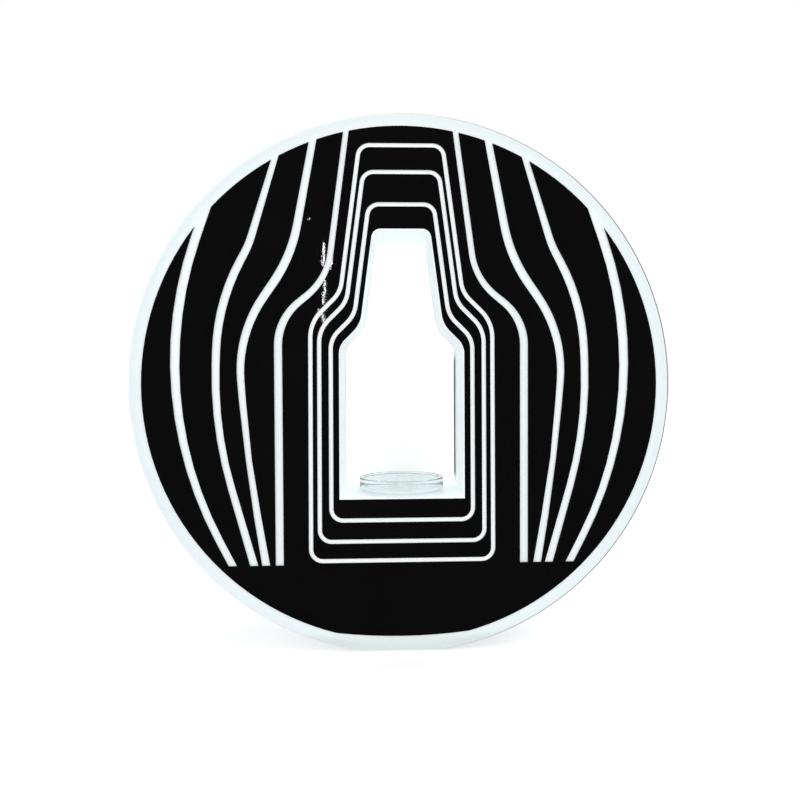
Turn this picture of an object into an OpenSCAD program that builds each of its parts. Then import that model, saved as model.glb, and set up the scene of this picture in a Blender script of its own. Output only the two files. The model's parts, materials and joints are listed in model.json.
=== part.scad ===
// Round light-box display with a lit niche and a clear coaster in it
// The black face looks along -Y, +Z is up, and the origin lies on the table under the middle of the drum

/* [Drum] */
// Outside diameter of the drum
drum_d = 650; // [600:1:720]
// Depth of the flat that the drum stands on
flat_cut = 4; // [3:0.5:8]
// Wall of the opal side band
band_t = 4; // [3:0.5:6]
// Thickness of the opal light panel at the front
panel_t = 5; // [4:0.5:8]
// Rounding of the light panel's front edge
edge_r = 3; // [1:0.5:3.5]

/* [Black face] */
// Thickness of the black sheet
face_t = 2; // [1:0.5:4]
// Width of the opal rim left bare round the black face
face_margin = 16.5; // [10:0.5:25]
// Extra width of the bare rim under the black face's foot
face_foot = 1.5; // [0:0.5:5]
// Width of the light lines that ring the niche
outline_w = 5; // [3:0.5:6]
// Width of the side light lines at their feet
stripe_w = 9; // [6:0.5:10]

/* [Niche] */
// Width of the niche's body
niche_w = 150; // [130:1:160]
// Depth from the black face to the niche's back panel
niche_depth = 136; // [120:1:160]
// Height of the drum's centre above the niche floor
niche_drop = 139; // [120:1:150]
// Height of the niche's ceiling above the drum's centre
niche_rise = 185; // [170:1:200]
// Width of the niche's neck at the ceiling
neck_w = 69; // [60:1:78]
// Lean of the neck's sides, in degrees
neck_lean = 7.5; // [4:0.5:10]
// Height of the shoulder's foot above the drum's centre
shoulder_rise = 45; // [30:1:55]
// Slope of the shoulder from upright, in degrees
shoulder_pitch = 45; // [38:1:50]
// Rounding of the shoulder where it meets the body
shoulder_r = 24; // [12:1:30]
// Rounding of the throat between neck and shoulder
throat_r = 35; // [20:1:40]
// Rounding of the corners at the niche's ceiling
ceiling_r = 11; // [6:1:14]
// Rounding of the rings' corners
corner_r = 14; // [6:1:16]
// Wall of the niche liner
liner_t = 4; // [3:0.5:6]
// Thickness of the niche's shelf
shelf_t = 6; // [4:0.5:10]
// Thickness of the niche's back panel
back_t = 4; // [3:0.5:6]
// Open joint between the back panel and the liner
back_gap = 1; // [0.5:0.1:2]

/* [Coaster] */
// Diameter of the clear coaster
coaster_d = 108; // [80:1:115]
// Thickness of the clear coaster
coaster_h = 15; // [10:0.5:20]
// Width of the rim round the seat in the coaster's top
seat_rim = 6; // [3:0.5:20]
// Depth of the seat
seat_depth = 2; // [1:0.5:4]
// Rounding of the coaster's polished edges
coaster_edge_r = 1.5; // [0.5:0.25:2.5]
// Room between the coaster and the niche's back panel
coaster_gap = 2; // [1:0.5:6]
// Diameter of the bumpers under the coaster
bumper_d = 10; // [6:0.5:14]
// Height of the bumpers
bumper_h = 1.5; // [1:0.25:3]

/* [Back cover] */
// Thickness of the back cover
cover_t = 3; // [2:0.5:5]
// How deep the cover sits inside the band's rear edge
cover_recess = 8; // [6:0.5:12]
// Room for the lamps between niche back panel and cover
lamp_gap = 19; // [15:0.5:30]
// Gap round the cover
cover_fit = 0.5; // [0.3:0.1:1]
// Number of cover blocks and cover screws
block_count = 8; // [6:1:12]
// Width of a cover block
block_w = 24; // [18:1:32]
// Height of a cover block from the band inwards
block_h = 16; // [13:1:20]
// Depth of a cover block
block_depth = 20; // [18:1:30]
// Length of a vent slot
vent_len = 30; // [20:1:36]
// Width of a vent slot
vent_w = 4; // [2:0.5:6]
// Number of vent slots in the upper fan
vent_count = 9; // [3:1:11]

/* [Base] */
// Diameter of the rubber feet
foot_d = 16; // [10:1:20]
// Height of the rubber feet
foot_h = 2; // [1.5:0.25:4]
// Thickness of the steel base plate
plate_t = 6; // [4:0.5:10]
// Sheet thickness of the shelf stand
stand_t = 2; // [1.5:0.25:3]
// Width of the shelf stand over its webs
stand_w = 52; // [44:1:56]
// Length of the shelf stand, front to back
stand_len = 90; // [70:1:100]
// Width of the shelf stand's foot flanges
flange_w = 15; // [12:0.5:17]

/* [Lamps] */
// Length of a lamp module
lamp_len = 42; // [30:1:46]
// Width of a lamp module
lamp_w = 14; // [10:1:18]
// Thickness of a lamp module's base
lamp_t = 4; // [3:0.5:6]
// Diameter of a lamp module's lenses
lens_d = 9; // [6:0.5:11]
// Height of a lens
lens_h = 2.5; // [1:0.5:4]
// Diameter of the leads
lead_d = 3; // [2:0.25:4]

/* [Switch and inlet] */
// Distance of the switch and of the inlet from the drum's upright centre line
control_x = 70; // [55:1:90]
// Height of the switch and of the inlet above the drum's flat
control_rise = 71; // [59:1:86]
// Height of the switch bezel
bezel_len = 21; // [20.5:0.5:26]
// Width of the switch bezel
bezel_w = 15; // [14:0.5:20]
// Thickness of the switch bezel and of the inlet flange
bezel_t = 1.8; // [1.2:0.1:2.5]
// Radius that the rocker turns in
rocker_r = 8; // [7:0.25:8.5]
// Width of the rocker
rocker_w = 9; // [8:0.25:9.5]
// Tilt of the rocker from level, in degrees
rocker_tilt = 8; // [5:1:10]
// Diameter of the inlet's barrel
inlet_d = 11; // [9:0.5:12]
// Bore of the inlet's socket
socket_d = 5.7; // [5:0.1:6.5]
// Diameter of the inlet's centre pin
contact_d = 2.1; // [1.6:0.1:2.5]

/* [Hidden] */
$fn = 96;

// Cuts run past the faces they open by this much
overrun = 1;
// Glue line between bonded curved faces
glue_gap = 0.1;
// Clearance round screws, and between a lead's end and what it feeds
screw_fit = 0.1;
lead_gap = 0.3;
// Turn of one step along a rounded corner, in degrees
arc_step = 4;
// Sides of a lead
lead_sides = 8;

// Levels along Y, from the black face to the rear edge of the band
drum_depth = niche_depth + back_t + lamp_gap + cover_t + cover_recess;
front_y = -drum_depth / 2;
panel_y = front_y + face_t;
band_y = panel_y + panel_t;
back_y = front_y + niche_depth;
back_rear_y = back_y + back_t;
cover_y = back_rear_y + lamp_gap;
cover_out_y = cover_y + cover_t;
rear_y = cover_out_y + cover_recess;

// Levels along Z: the flat, the drum's centre and the niche floor
drum_r = drum_d / 2;
flat_drop = drum_r - flat_cut;
drum_z = foot_h + flat_drop;
shelf_z = drum_z - niche_drop;
plate_z = foot_h + band_t;
control_drop = flat_drop - control_rise;

// The black face and the pattern of light lines that follows it
face_r = drum_r - face_margin;
foot_arc_share = 2;
foot_arc_r = foot_arc_share * drum_r;
stripe_room_share = 0.305;
stripe_drop_share = 0.7024;
stripe_x = niche_w / 2 + stripe_room_share * (face_r - niche_w / 2);
stripe_drop = stripe_drop_share * face_r;
foot_chord = sqrt(face_r * face_r - stripe_drop * stripe_drop);

// Three rings round the niche: how far out they stand towards the side lines, their feet and the face's top
ring_side_shares = [0.138, 0.331, 0.478];
ring_top_shares = [0.236, 0.55, 0.81];
ring_bottom_shares = [0.322, 0.647, 0.942];
// How much of a ring's side distance its neck, its shoulder and its rounding take up
neck_follow_share = 0.84;
shoulder_follow_share = 0.82;
round_follow_share = 0.6;

// Side lines from the middle outwards: the foot, between the inner line and the rim at foot level
line_foot_shares = [0, 0.219, 0.412, 0.756];
// Their lower bends: place between the inner line and the rim, height and rounding
line_bend_shares = [
  [[0.008, 0.249, 0.215]],
  [[0.232, -0.295, 4.977], [0.306, 0.187, 0.504]],
  [[0.476, -0.17, 1.55], [0.446, 0.311, 0.8]],
  [[0.995, -0.041, 1.483]]
];
// Their upper bends and ends past the rim: place from the outer ring's neck to the rim, height and rounding
line_neck_shares = [
  [[0.075, 0.404, 0.254], [0.068, 1.037, 0]],
  [[0.264, 0.492, 0.578], [0.207, 1.037, 0]],
  [[0.477, 0.536, 0.36], [0.357, 0.972, 0]],
  [[0.632, 0.843, 0]]
];
// Heights at which the widths of the lines are set, and each line's width there against its set width
line_level_shares = [-stripe_drop_share, -0.3, 0.2, 0.42, 0.94];
line_width_shares = [
  [1.037, 1.04, 1.05, 0.802, 0.701],
  [1.049, 0.773, 1.057, 1.17, 0.897],
  [1.026, 0.912, 1.073, 1.113, 0.722],
  [0.969, 1.03, 1.26, 1.227, 1.245]
];

// Screws: M4 for the cover, stand and base, M3 for the spacers
screw_d = 4;
head_d = 8;
head_h = 2.6;
small_screw_d = 3;
small_head_d = 6;
small_head_h = 2;
head_shoulder_share = 0.55;
head_top_share = 0.72;
sink_h = 2.2;
cover_screw_len = cover_t + block_depth / 2;
spacer_screw_len = cover_t + lamp_gap / 2;
stand_screw_len = stand_t + plate_t / 2;
base_screw_len = band_t + plate_t / 2;
block_hole_depth = cover_screw_len - cover_t + overrun;
spacer_hole_depth = spacer_screw_len - cover_t + overrun;
screw_ring_r = drum_r - band_t - block_h / 2;
// The first block stands half a step from the level line, so none sits on the flat
block_step = 360 / block_count;
block_start = block_step / 2;

// Spacers behind the niche's back panel, as shares of its half width and of its drop or rise
spacer_d = 10;
spacer_side_share = 0.9;
spacer_low_share = -0.85;
spacer_high_share = 0.6;
spacer_places = [
  [-spacer_side_share * niche_w / 2, spacer_low_share * niche_drop],
  [spacer_side_share * niche_w / 2, spacer_low_share * niche_drop],
  [-spacer_side_share * niche_w / 2, 0],
  [spacer_side_share * niche_w / 2, 0],
  [0, spacer_high_share * niche_rise]
];

// Feet, base plate and shelf stand
foot_inset = 20;
foot_margin = 6;
plate_margin = 5;
bend_r = 2;
flat_half = sqrt(drum_r * drum_r - flat_drop * flat_drop);
flat_inner_half = sqrt(pow(drum_r - band_t, 2) - pow(flat_drop - band_t, 2));
mid_y = (band_y + rear_y) / 2;
shelf_y = (band_y + back_rear_y) / 2;
foot_x = flat_half - foot_margin - foot_d / 2;
foot_y = (rear_y - band_y) / 2 - foot_inset;
plate_w = 2 * (flat_inner_half - plate_margin);
plate_len = rear_y - band_y - 2 * foot_inset;
base_screw_x_share = 0.18;
base_screw_y_share = 0.42;
stand_screw_x = stand_w / 2 + (flange_w + bend_r) / 2;
stand_screw_y_share = 0.36;

// The coaster stands at the back of the niche
coaster_y = back_y - coaster_gap - coaster_d / 2;
coaster_z = shelf_z + bumper_h;
seat_d = coaster_d - 2 * seat_rim;
bumper_ring_share = 0.7;
bumper_count = 4;
seat_edge_share = 0.5;

// Two rings of lamp modules that leave the foot of the drum free, and lamps behind the niche
lamp_ring_shares = [0.86, 0.66];
lamp_counts = [22, 16];
lamp_start = -50;
lamp_sweep = 280;
lens_pitch_share = 0.31;
lamp_lead_y = cover_y - lamp_t / 2;
lamp_tail = 8;
niche_lamp_side_share = 0.47;
niche_lamp_row_shares = [-0.82, -0.5, -0.18, 0.14];
neck_lamp_shares = [0.42, 0.78];
neck_lead_share = 0.28;

// Vent fans between the two rings of lamps
vent_ring_share = 0.76;
vent_step = 5.5;
low_vent_count = 5;

// Rocker switch
well_fit = 0.3;
switch_wall = 1.1;
switch_side_wall = 1.7;
cutout_fit = 0.1;
switch_depth = 14;
well_depth = 4.4;
rocker_base = 2;
rocker_tip = 3.3;
rocker_dip = 2.3;
trunnion_d = 2;
trunnion_fit = 0.05;
trunnion_reach = 1.3;
trunnion_room = 0.1;
well_len = 2 * (rocker_r + well_fit);
well_w = rocker_w + 2 * well_fit;
switch_len = well_len + 2 * switch_wall;
switch_w = well_w + 2 * switch_side_wall;
terminal_w = 4.8;
terminal_t = 0.8;
terminal_len = 7;
terminal_share = 0.28;

// Power inlet
flange_d_share = 1.3;
inlet_len = 13;
socket_depth = 9.5;
contact_len = 8.5;
inlet_fit = 0.1;
nut_d_share = 1.5;
nut_t = 2.5;
tail_reach = 4;

// Unit vector, direction of a vector and the short way round between two directions
function unit(v) = v / norm(v);
function heading(v) = atan2(v.y, v.x);
function wrap(a) = a > 180 ? a - 360 : a < -180 ? a + 360 : a;

// Arc of radius r in the corner b between a and c
function fillet(a, b, c, r) =
  r <= 0 ? [b] :
  let (
    u = unit(a - b),
    v = unit(c - b),
    half = acos(u * v) / 2,
    mid = b + unit(u + v) * r / sin(half),
    from = heading(b + u * r / tan(half) - mid),
    turn = wrap(heading(b + v * r / tan(half) - mid) - from),
    steps = ceil(abs(turn) / arc_step)
  )
  [for (i = [0:steps]) mid + r * [cos(from + turn * i / steps), sin(from + turn * i / steps)]];

// Closed outline with its corners rounded
function rounded(corners, radii) =
  let (n = len(corners))
  [for (i = [0:n - 1]) each fillet(corners[(i + n - 1) % n], corners[i], corners[(i + 1) % n], radii[i])];

// Open path with its inner corners rounded
function rounded_path(corners, radii) =
  let (last = len(corners) - 1)
  [
    for (i = [0:last])
      each i == 0 || i == last ? [corners[i]] : fillet(corners[i - 1], corners[i], corners[i + 1], radii[i])
  ];

// Outward normal of the edge from a to b on an outline that runs anticlockwise
function outward(a, b) = let (d = unit(b - a)) [d.y, -d.x];

// Rounded outline moved outwards by e, with its arcs kept concentric
function grown(corners, radii, e) =
  let (
    n = len(corners),
    normals = [for (i = [0:n - 1]) outward(corners[i], corners[(i + 1) % n])],
    moved = [
      for (i = [0:n - 1])
        let (p = normals[(i + n - 1) % n], q = normals[i])
        corners[i] + e * (p + q) / (1 + p * q)
    ],
    bent = [
      for (i = [0:n - 1])
        let (p = normals[(i + n - 1) % n], q = normals[i], left = p.x * q.y - p.y * q.x > 0)
        max(0, radii[i] + (left ? e : -e))
    ]
  )
  rounded(moved, bent);

// Right half of a list of corners followed by its mirror image, and the same for radii
function both_sides(half) = concat(half, [for (i = [len(half) - 1:-1:0]) [-half[i].x, half[i].y]]);
function both_radii(half) = concat(half, [for (i = [len(half) - 1:-1:0]) half[i]]);

// Niche shape, and the rings that stand a given distance outside it
function body_x(side) = niche_w / 2 + side;
function shoulder_z(side) = shoulder_rise + shoulder_follow_share * side;
function neck_x(side, z) = neck_w / 2 + neck_follow_share * side + tan(neck_lean) * (niche_rise - z);
function throat_z(side) =
  (body_x(side) + tan(shoulder_pitch) * shoulder_z(side) - neck_x(side, 0))
  / (tan(shoulder_pitch) - tan(neck_lean));
function silhouette(side, top, bottom) = both_sides([
  [body_x(side), -bottom],
  [body_x(side), shoulder_z(side)],
  [neck_x(side, throat_z(side)), throat_z(side)],
  [neck_x(side, top), top]
]);
function silhouette_radii(side, foot_r, top_r) =
  both_radii([foot_r, shoulder_r + round_follow_share * side, throat_r, top_r]);
function niche_outline(e) =
  grown(silhouette(0, niche_rise, niche_drop), silhouette_radii(0, 0, ceiling_r), e);

// Centre line of ring i, and its outline moved outwards by e
function ring_side(i) = ring_side_shares[i] * (stripe_x - niche_w / 2);
function ring_top(i) = niche_rise + ring_top_shares[i] * (face_r - niche_rise);
function ring_bottom(i) = niche_drop + ring_bottom_shares[i] * (stripe_drop - niche_drop);
function ring_outline(i, e) = grown(
  silhouette(ring_side(i), ring_top(i), ring_bottom(i)),
  silhouette_radii(ring_side(i), corner_r, corner_r),
  e
);

// Side line i: its centre line from below the foot to past the rim, and its width at a height
function line_point(share, from) = [from + share.x * (face_r - from), share.y * face_r];
function outer_neck_x(z) = neck_x(ring_side(len(ring_side_shares) - 1), z);
function line_path(i) =
  let (
    foot = [stripe_x + line_foot_shares[i] * (foot_chord - stripe_x), -stripe_drop],
    lower = [for (share = line_bend_shares[i]) line_point(share, stripe_x)],
    upper = [for (share = line_neck_shares[i]) line_point(share, outer_neck_x(share.y * face_r))],
    start = foot + unit(foot - lower[0]) * stripe_w,
    bends = [for (share = concat(line_bend_shares[i], line_neck_shares[i])) share.z * face_r]
  )
  rounded_path(concat([start], lower, upper), concat([0], bends));
function line_half_w(i, z) =
  let (table = [for (k = [0:len(line_level_shares) - 1]) [line_level_shares[k], line_width_shares[i][k]]])
  stripe_w / 2 * lookup(z / face_r, table);
function line_edge(path, i, side) = [
  for (k = [0:len(path) - 1])
    let (way = path[min(k + 1, len(path) - 1)] - path[max(k - 1, 0)])
    path[k] + side * line_half_w(i, path[k].y) * outward([0, 0], way)
];
function line_outline(i) =
  let (path = line_path(i), far = line_edge(path, i, 1), near = line_edge(path, i, -1))
  concat(far, [for (k = [len(near) - 1:-1:0]) near[k]]);

// Direction of cover block or screw i round the drum
function block_angle(i) = block_start + i * block_step;

// Place of lamp k of a ring, and a point straight out of its near (-1) or far (1) end
function lamp_angle(ring, k) = lamp_start + lamp_sweep * k / (lamp_counts[ring] - 1);
function lamp_place(ring, k) =
  lamp_ring_shares[ring] * face_r * [cos(lamp_angle(ring, k)), sin(lamp_angle(ring, k))];
function lamp_end(ring, k, side, out) =
  lamp_place(ring, k)
  + side * (lamp_len / 2 + lead_gap + out) * [-sin(lamp_angle(ring, k)), cos(lamp_angle(ring, k))];

// Places of the lamps behind the niche, and a point straight above (1) or below (-1) one of them
function niche_lamp(side, row) =
  [side * niche_lamp_side_share * niche_w / 2, niche_lamp_row_shares[row] * niche_drop];
function neck_lamp(i) = [0, neck_lamp_shares[i] * niche_rise];
function beside_lamp(place, across, way, out) =
  place + [across, way * (lamp_w / 2 + lead_gap + out)];

// Point in the drum, from its place on the face and its level along Y
function in_drum(place, y) = [place.x, y, drum_z + place.y];

// Flat profile drawn on the face, made solid from y0 back to y1
module upright(y0, y1) {
  translate([0, y1, drum_z]) rotate([90, 0, 0]) linear_extrude(y1 - y0) children();
}

// Profile drawn in Y and Z, made solid along X about the middle
module crosswise(length) {
  rotate([90, 0, 90]) linear_extrude(length, center = true) children();
}

// Place on the cover's outer face, with local z pointing out of the back
module on_cover(place) {
  translate(in_drum(place, cover_out_y)) rotate([90, 0, 180]) children();
}

// Drum outline with its flat, moved inwards by an inset
module drum_profile(inset) {
  intersection() {
    circle(r = drum_r - inset);
    translate([-drum_r, inset - flat_drop]) square(drum_d);
  }
}

// Everything above a level, as wide as the drum
module above(level) {
  translate([-drum_r, level]) square(drum_d);
}

// Ring of points round the start of a route, and that ring slid along to the plane through the next point
function start_ring(at, way, d) =
  let (
    u = unit(cross(way, abs(way.y) > abs(way.z) ? [0, 0, 1] : [0, 1, 0])),
    v = cross(way, u)
  )
  [
    for (k = [0:lead_sides - 1])
      let (a = 360 * k / lead_sides)
      at + d / 2 * (u * cos(a) + v * sin(a))
  ];
function slid_ring(ring, at, way, normal) = [for (q = ring) q + way * ((at - q) * normal) / (way * normal)];

// Lead that runs straight from point to point with mitred bends
module lead(route) {
  last = len(route) - 1;
  ways = [for (i = [0:last - 1]) unit(route[i + 1] - route[i])];
  normals = [for (i = [1:last]) i < last ? unit(ways[i - 1] + ways[i]) : ways[last - 1]];
  rings = [
    for (i = 0, ring = start_ring(route[0], ways[0], lead_d);
         i <= last;
         ring = i < last ? slid_ring(ring, route[i + 1], ways[i], normals[i]) : ring, i = i + 1)
      ring
  ];
  walls = [
    for (i = [0:last - 1]) for (k = [0:lead_sides - 1])
      let (a = i * lead_sides + k, b = i * lead_sides + (k + 1) % lead_sides)
      each [[a, a + lead_sides, b], [b, a + lead_sides, b + lead_sides]]
  ];
  first_cap = [for (k = [0:lead_sides - 1]) k];
  last_cap = [for (k = [lead_sides - 1:-1:0]) last * lead_sides + k];
  polyhedron([for (ring = rings) each ring], concat(walls, [first_cap, last_cap]));
}

// Pan-head screw standing on z = 0 with its shank below
module pan_screw(d, across, height, length) {
  rotate_extrude() polygon([
    [0, -length],
    [d / 2, -length],
    [d / 2, 0],
    [across / 2, 0],
    [across / 2, height * head_shoulder_share],
    [across / 2 * head_top_share, height],
    [0, height]
  ]);
}

// Countersunk screw with its head flush at z = 0 and its shank above, and the hole for it
module sunk_screw(length, fit) {
  rotate_extrude() polygon([
    [0, 0],
    [head_d / 2 + fit, 0],
    [screw_d / 2 + fit, sink_h],
    [screw_d / 2 + fit, length],
    [0, length]
  ]);
}

module at_blocks() {
  for (i = [0:block_count - 1]) rotate(block_angle(i)) translate([screw_ring_r, 0]) children();
}

module at_base_screws() {
  for (x = [-1, 1]) for (y = [-1, 1])
    translate([x * base_screw_x_share * plate_w, mid_y + y * base_screw_y_share * plate_len, foot_h])
      children();
}

module at_stand_screws() {
  for (x = [-1, 1]) for (y = [-1, 1])
    translate([x * stand_screw_x, shelf_y + y * stand_screw_y_share * stand_len, plate_z + plate_t])
      children();
}

// Side light lines on both sides, cut level at their feet
module side_lines() {
  intersection() {
    for (i = [0:len(line_foot_shares) - 1]) {
      polygon(line_outline(i));
      mirror([1, 0]) polygon(line_outline(i));
    }
    above(-stripe_drop);
  }
}

// Round outline of the black face, with a shallow arc along its foot
module face_profile() {
  intersection() {
    circle(r = face_r);
    translate([0, foot_arc_r - flat_drop + face_margin + face_foot]) circle(r = foot_arc_r);
  }
}

// Black face with the side lines cut through it and the niche's rings left open
module face_panel() {
  color("#0d0d0f") upright(front_y, panel_y) difference() {
    face_profile();
    polygon(ring_outline(2, outline_w / 2));
    side_lines();
  }
}

// Black bands between the rings
module outline_band_inner() {
  color("#0d0d0f") upright(front_y, panel_y) difference() {
    polygon(ring_outline(0, -outline_w / 2));
    polygon(niche_outline(0));
  }
}

module outline_band_middle() {
  color("#0d0d0f") upright(front_y, panel_y) difference() {
    polygon(ring_outline(1, -outline_w / 2));
    polygon(ring_outline(0, outline_w / 2));
  }
}

module outline_band_outer() {
  color("#0d0d0f") upright(front_y, panel_y) difference() {
    polygon(ring_outline(2, -outline_w / 2));
    polygon(ring_outline(1, outline_w / 2));
  }
}

// Opal front with a rounded edge, round the rim and along the flat
module light_panel() {
  color("#edf7fa") difference() {
    intersection() {
      translate([0, band_y, drum_z]) rotate([90, 0, 0]) rotate_extrude() intersection() {
        square([drum_r, panel_t]);
        union() {
          square([drum_r - edge_r, panel_t]);
          square([drum_r, panel_t - edge_r]);
          translate([drum_r - edge_r, panel_t - edge_r]) circle(edge_r);
        }
      }
      translate([0, panel_y, foot_h]) crosswise(drum_d) {
        translate([edge_r, 0]) square([panel_t, drum_d]);
        translate([0, edge_r]) square([panel_t + edge_r, drum_d]);
        translate([edge_r, edge_r]) circle(edge_r);
      }
    }
    upright(panel_y - overrun, band_y + overrun) polygon(niche_outline(0));
  }
}

// Opal band bent to the drum, with countersunk holes in its flat
module side_band() {
  color("#e6f0f3") difference() {
    upright(band_y, rear_y) difference() {
      drum_profile(0);
      drum_profile(band_t);
    }
    at_base_screws() sunk_screw(band_t + overrun, screw_fit);
  }
}

// Cover with holes for its screws, the spacers' screws, the vents, the switch and the inlet
module back_cover() {
  color("#dfe3e4") upright(cover_y, cover_out_y) difference() {
    drum_profile(band_t + cover_fit);
    at_blocks() circle(d = screw_d + 2 * screw_fit);
    for (place = spacer_places) translate(place) circle(d = small_screw_d + 2 * screw_fit);
    vent_fan(90, vent_count);
    vent_fan(270, low_vent_count);
    translate([-control_x, -control_drop])
      square([switch_w + 2 * cutout_fit, switch_len + 2 * cutout_fit], center = true);
    translate([control_x, -control_drop]) circle(d = inlet_d + 2 * inlet_fit);
  }
}

// Fan of round-ended slots about a direction
module vent_fan(middle, count) {
  for (i = [0:count - 1]) rotate(middle + (i - (count - 1) / 2) * vent_step)
    translate([vent_ring_share * face_r, 0]) {
      square([vent_len - vent_w, vent_w], center = true);
      for (end = [-1, 1]) translate([end * (vent_len - vent_w) / 2, 0]) circle(d = vent_w);
    }
}

// Blocks bonded inside the band, which take the cover's screws
module cover_blocks() {
  color("#e9eef0") difference() {
    upright(cover_y - block_depth, cover_y) intersection() {
      drum_profile(band_t + glue_gap);
      at_blocks() square([block_h + overrun, block_w], center = true);
    }
    upright(cover_y - block_hole_depth, cover_y + overrun) at_blocks() circle(d = screw_d + screw_fit);
  }
}

module cover_screws() {
  color("silver") for (i = [0:block_count - 1])
    on_cover(screw_ring_r * [cos(block_angle(i)), sin(block_angle(i))])
      pan_screw(screw_d, head_d, head_h, cover_screw_len);
}

// Opal wall of the niche, open at the shelf
module niche_liner() {
  color("#eef2f4") upright(band_y, back_rear_y) intersection() {
    difference() {
      polygon(niche_outline(liner_t));
      polygon(niche_outline(0));
    }
    above(-niche_drop);
  }
}

// Shelf under the liner and the coaster
module niche_shelf() {
  color("#f2fafc") translate([-niche_w / 2 - liner_t, band_y, shelf_z - shelf_t])
    cube([niche_w + 2 * liner_t, back_rear_y - band_y, shelf_t]);
}

// Back panel that stands on the shelf with an open joint to the liner
module niche_back() {
  color("#fffffd") upright(back_y, back_rear_y) intersection() {
    polygon(grown(
      silhouette(0, niche_rise, niche_drop + back_gap),
      silhouette_radii(0, 0, ceiling_r),
      -back_gap
    ));
    above(-niche_drop);
  }
}

module back_spacers() {
  color("#d8dcdd") difference() {
    upright(back_rear_y, cover_y) for (place = spacer_places) translate(place) circle(d = spacer_d);
    upright(cover_y - spacer_hole_depth, cover_y + overrun)
      for (place = spacer_places) translate(place) circle(d = small_screw_d + screw_fit);
  }
}

module spacer_screws() {
  color("silver") for (place = spacer_places)
    on_cover(place) pan_screw(small_screw_d, small_head_d, small_head_h, spacer_screw_len);
}

// Hat-shaped sheet stand between the base plate and the shelf
module shelf_stand() {
  web = stand_w / 2;
  foot = plate_z + plate_t;
  top = shelf_z - shelf_t;
  corners = [
    [web - stand_t, foot],
    [web + flange_w, foot],
    [web + flange_w, foot + stand_t],
    [web, foot + stand_t],
    [web, top],
    [-web, top],
    [-web, foot + stand_t],
    [-web - flange_w, foot + stand_t],
    [-web - flange_w, foot],
    [stand_t - web, foot],
    [stand_t - web, top - stand_t],
    [web - stand_t, top - stand_t]
  ];
  outer_r = bend_r + stand_t;
  radii = [outer_r, 0, 0, bend_r, outer_r, outer_r, bend_r, 0, 0, outer_r, bend_r, bend_r];
  color("#cfd4d6") difference() {
    translate([0, shelf_y + stand_len / 2, 0]) rotate([90, 0, 0])
      linear_extrude(stand_len) polygon(rounded(corners, radii));
    at_stand_screws() translate([0, 0, -overrun])
      cylinder(h = stand_t + 2 * overrun, d = screw_d + 2 * screw_fit);
  }
}

module stand_screws() {
  color("silver") at_stand_screws() translate([0, 0, stand_t])
    pan_screw(screw_d, head_d, head_h, stand_screw_len);
}

// Steel plate that weighs the drum down, screwed to the flat from below
module base_plate() {
  color("#6d7275") difference() {
    translate([-plate_w / 2, mid_y - plate_len / 2, plate_z]) cube([plate_w, plate_len, plate_t]);
    at_base_screws() cylinder(h = base_screw_len + overrun, d = screw_d + screw_fit);
    at_stand_screws() translate([0, 0, stand_t - stand_screw_len - overrun])
      cylinder(h = stand_screw_len + overrun, d = screw_d + screw_fit);
  }
}

module base_screws() {
  color("silver") at_base_screws() sunk_screw(base_screw_len, 0);
}

module feet() {
  color("#c9cfd2") for (x = [-1, 1]) for (y = [-1, 1])
    translate([x * foot_x, mid_y + y * foot_y, 0]) cylinder(h = foot_h, d = foot_d);
}

// Clear coaster with polished round edges and a shallow seat
module coaster_disc() {
  corners = [
    [0, 0],
    [coaster_d / 2, 0],
    [coaster_d / 2, coaster_h],
    [seat_d / 2, coaster_h],
    [seat_d / 2, coaster_h - seat_depth],
    [0, coaster_h - seat_depth]
  ];
  seat_r = coaster_edge_r * seat_edge_share;
  radii = [0, coaster_edge_r, coaster_edge_r, seat_r, seat_r, 0];
  color("#dceef2", 0.5) translate([0, coaster_y, coaster_z])
    rotate_extrude() polygon(rounded(corners, radii));
}

module coaster_bumpers() {
  color("#e8eef0") for (i = [0:bumper_count - 1])
    translate([0, coaster_y, shelf_z]) rotate(360 / bumper_count * (i + 0.5))
      translate([bumper_ring_share * coaster_d / 2, 0, 0]) cylinder(h = bumper_h, d = bumper_d);
}

// Lamp module with three lenses, lying on z = 0
module lamp() {
  translate([-lamp_len / 2, -lamp_w / 2, 0]) cube([lamp_len, lamp_w, lamp_t]);
  for (i = [-1:1]) translate([i * lens_pitch_share * lamp_len, 0, lamp_t])
    cylinder(h = lens_h, d = lens_d);
}

// Place on the cover's inner face, with local z pointing to the front
module inside_cover(place) {
  translate(in_drum(place, cover_y)) rotate([90, 0, 0]) children();
}

module lamp_modules() {
  color("#f4f4ee") for (ring = [0, 1]) for (k = [0:lamp_counts[ring] - 1])
    inside_cover(lamp_place(ring, k)) rotate(lamp_angle(ring, k) + 90) lamp();
}

module niche_lamps() {
  color("#f4f4ee") {
    for (row = [0:len(niche_lamp_row_shares) - 1]) for (side = [-1, 1])
      inside_cover(niche_lamp(side, row)) lamp();
    for (i = [0:len(neck_lamp_shares) - 1]) inside_cover(neck_lamp(i)) lamp();
  }
}

// Lead that lies on the cover through a list of places
module lamp_lead(places) {
  lead([for (place = places) in_drum(place, lamp_lead_y)]);
}

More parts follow.
